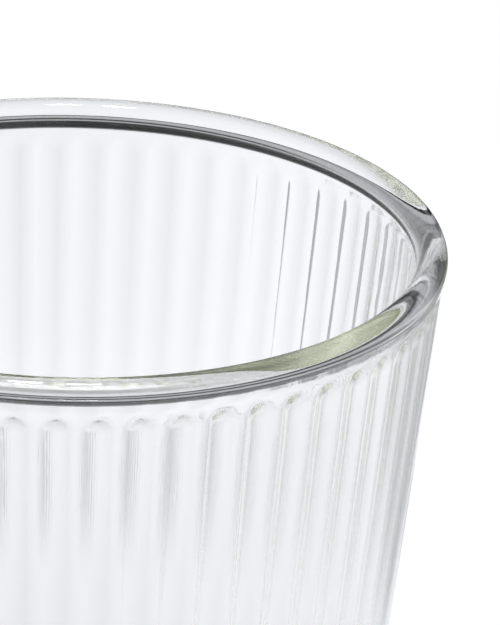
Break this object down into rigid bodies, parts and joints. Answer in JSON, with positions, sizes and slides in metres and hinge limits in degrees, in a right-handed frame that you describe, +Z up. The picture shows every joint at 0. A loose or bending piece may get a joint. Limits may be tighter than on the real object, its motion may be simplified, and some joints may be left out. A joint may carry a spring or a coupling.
{
  "type": "double-walled drinking glass",
  "caption": "Clear double-walled drinking glass: a tapered outer jacket with upright ribs on the side of the air gap, a plain inner vessel, a rounded rim joining both walls and a plugged vent in the base.",
  "frame": {"origin": "centre of the plane that the foot ring rests on", "axes": "+Z up along the glass's axis, from the foot to the mouth; the picture is taken from the -Y side with +X to the right"},
  "size_m": [0.084, 0.084, 0.1],
  "materials": {
    "jacket_glass": "clear fire-polished glass, smooth outside and ribbed on the side of the air gap",
    "vessel_glass": "clear smooth glass",
    "rim_glass": "clear fire-polished glass with a faint yellow-green cast where it is thick",
    "plug_silicone": "translucent matt silicone"
  },
  "bodies": {
    "root": {"outer_jacket": "jacket_glass", "inner_vessel": "vessel_glass", "rim_bead": "rim_glass", "vent_plug": "plug_silicone"}
  },
  "joints": []
}
